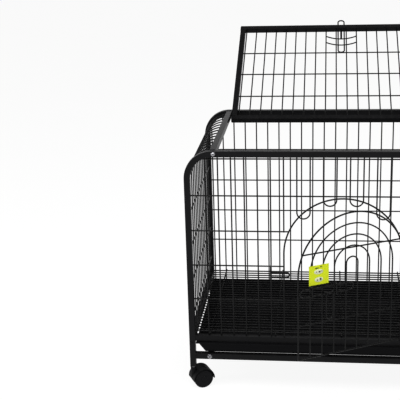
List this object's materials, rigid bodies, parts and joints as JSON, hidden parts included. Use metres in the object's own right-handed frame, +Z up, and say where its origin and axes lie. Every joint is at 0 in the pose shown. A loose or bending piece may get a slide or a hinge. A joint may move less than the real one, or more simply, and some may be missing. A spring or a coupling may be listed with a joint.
{
  "type": "wire dog crate",
  "caption": "Rolling wire crate of black square tube with a lift-up lid, an arched front door with a slide bolt, a floor grate and a slide-out tray on swivel casters",
  "frame": {"origin": "on the floor, under the middle of the whole object in its rest pose, with the lid leaning open and the door ajar", "axes": "+X to the right seen from the door side, +Y from the door to the back, +Z up"},
  "size_m": [0.8634, 1.065, 0.9156],
  "materials": {
    "black_tube": "satin black powder coat on square steel tube",
    "black_wire": "satin black powder coat on steel wire",
    "bright_steel": "bright zinc-plated steel",
    "black_plastic": "matte black moulded nylon",
    "wheel_plastic": "smooth black moulded nylon",
    "tray_plastic": "glossy black sheet with a smooth lip",
    "tag_card": "printed yellow-green card, plain ovals only"
  },
  "bodies": {
    "crate": {"front_left_post": "black_tube", "front_right_post": "black_tube", "back_left_post": "black_tube", "back_right_post": "black_tube", "side_top_tubes": "black_tube", "front_top_rail": "black_tube", "back_top_rail": "black_tube", "front_floor_rail": "black_tube", "side_floor_rails": "black_tube", "front_bottom_rail": "black_tube", "back_bottom_rail": "black_tube", "tray_runners": "black_tube", "tray_pads": "black_plastic", "rail_inserts": "black_plastic", "frame_bolts": "bright_steel", "post_plugs": "black_plastic", "caster_sockets": "black_plastic", "front_upright_wires": "black_wire", "front_cross_wires": "black_wire", "doorway_wire": "black_wire", "door_stop": "black_wire", "latch_keeper": "black_wire", "back_upright_wires": "black_wire", "back_cross_wires": "black_wire", "left_upright_wires": "black_wire", "left_cross_wires": "black_wire", "right_upright_wires": "black_wire", "right_cross_wires": "black_wire", "grate_wires": "black_wire", "grate_supports": "black_wire", "lid_pivot_bolts": "black_tube", "front_left_stem": "bright_steel", "front_right_stem": "bright_steel", "back_left_stem": "bright_steel", "back_right_stem": "bright_steel"},
    "lid": {"lid_end_tubes": "black_tube", "lid_side_tubes": "black_tube", "lid_tube_caps": "black_plastic", "lid_long_wires": "black_wire", "lid_cross_wires": "black_wire", "lid_latch_guides": "black_wire", "lid_latch_bar": "black_wire"},
    "lid_latch": {"lid_latch_loop": "black_wire"},
    "door": {"door_frame_wire": "black_wire", "door_arch_wires": "black_wire", "door_cross_bars": "black_wire", "door_hinge_rings": "black_wire", "door_latch_guides": "black_wire", "hang_tag": "tag_card"},
    "door_bolt": {"door_latch_bolt": "black_wire"},
    "door_handle": {"door_latch_handle": "black_wire"},
    "tray": {"tray": "tray_plastic"},
    "front_left_caster": {"front_left_housing": "black_plastic"},
    "front_left_wheel_pair": {"front_left_wheels": "wheel_plastic"},
    "front_right_caster": {"front_right_housing": "black_plastic"},
    "front_right_wheel_pair": {"front_right_wheels": "wheel_plastic"},
    "back_left_caster": {"back_left_housing": "black_plastic"},
    "back_left_wheel_pair": {"back_left_wheels": "wheel_plastic"},
    "back_right_caster": {"back_right_housing": "black_plastic"},
    "back_right_wheel_pair": {"back_right_wheels": "wheel_plastic"}
  },
  "joints": [
    {"name": "lid_hinge", "type": "hinge", "parent": "crate", "child": "lid", "pos_m": [0, 0.09116, 0.6875], "axis": [1, 0, 0], "range_deg": [0, 151.6]},
    {"name": "lid_latch_slide", "type": "slide", "parent": "lid", "child": "lid_latch", "axis": [0, 0.8796, 0.4756], "range_m": [-0.04, 0]},
    {"name": "door_hinge", "type": "hinge", "parent": "crate", "child": "door", "pos_m": [0.1575, -0.36849, 0.339], "axis": [0, 0, 1], "range_deg": [-28.5, 80]},
    {"name": "door_bolt_slide", "type": "slide", "parent": "door", "child": "door_bolt", "axis": [-0.8788, -0.4772, 0], "range_m": [0, 0.039]},
    {"name": "door_handle_swing", "type": "hinge", "parent": "door_bolt", "child": "door_handle", "pos_m": [-0.03397, -0.48948, 0.348], "axis": [-0.8788, -0.4772, 0], "range_deg": [0, 90]},
    {"name": "tray_slide", "type": "slide", "parent": "crate", "child": "tray", "axis": [0, -1, 0], "range_m": [0, 0.42]},
    {"name": "front_left_swivel", "type": "hinge", "parent": "crate", "child": "front_left_caster", "pos_m": [-0.415, -0.36484, 0.05], "axis": [0, 0, 1], "continuous": true},
    {"name": "front_left_roll", "type": "hinge", "parent": "front_left_caster", "child": "front_left_wheel_pair", "pos_m": [-0.39381, -0.35357, 0.0275], "axis": [-0.4695, 0.8829, 0], "continuous": true},
    {"name": "front_right_swivel", "type": "hinge", "parent": "crate", "child": "front_right_caster", "pos_m": [0.415, -0.36484, 0.05], "axis": [0, 0, 1], "continuous": true},
    {"name": "front_right_roll", "type": "hinge", "parent": "front_right_caster", "child": "front_right_wheel_pair", "pos_m": [0.39381, -0.35357, 0.0275], "axis": [0.4695, 0.8829, 0], "continuous": true},
    {"name": "back_left_swivel", "type": "hinge", "parent": "crate", "child": "back_left_caster", "pos_m": [-0.415, 0.13117, 0.05], "axis": [0, 0, 1], "continuous": true},
    {"name": "back_left_roll", "type": "hinge", "parent": "back_left_caster", "child": "back_left_wheel_pair", "pos_m": [-0.39381, 0.14243, 0.0275], "axis": [-0.4695, 0.8829, 0], "continuous": true},
    {"name": "back_right_swivel", "type": "hinge", "parent": "crate", "child": "back_right_caster", "pos_m": [0.415, 0.13117, 0.05], "axis": [0, 0, 1], "continuous": true},
    {"name": "back_right_roll", "type": "hinge", "parent": "back_right_caster", "child": "back_right_wheel_pair", "pos_m": [0.39381, 0.14243, 0.0275], "axis": [0.4695, 0.8829, 0], "continuous": true}
  ]
}
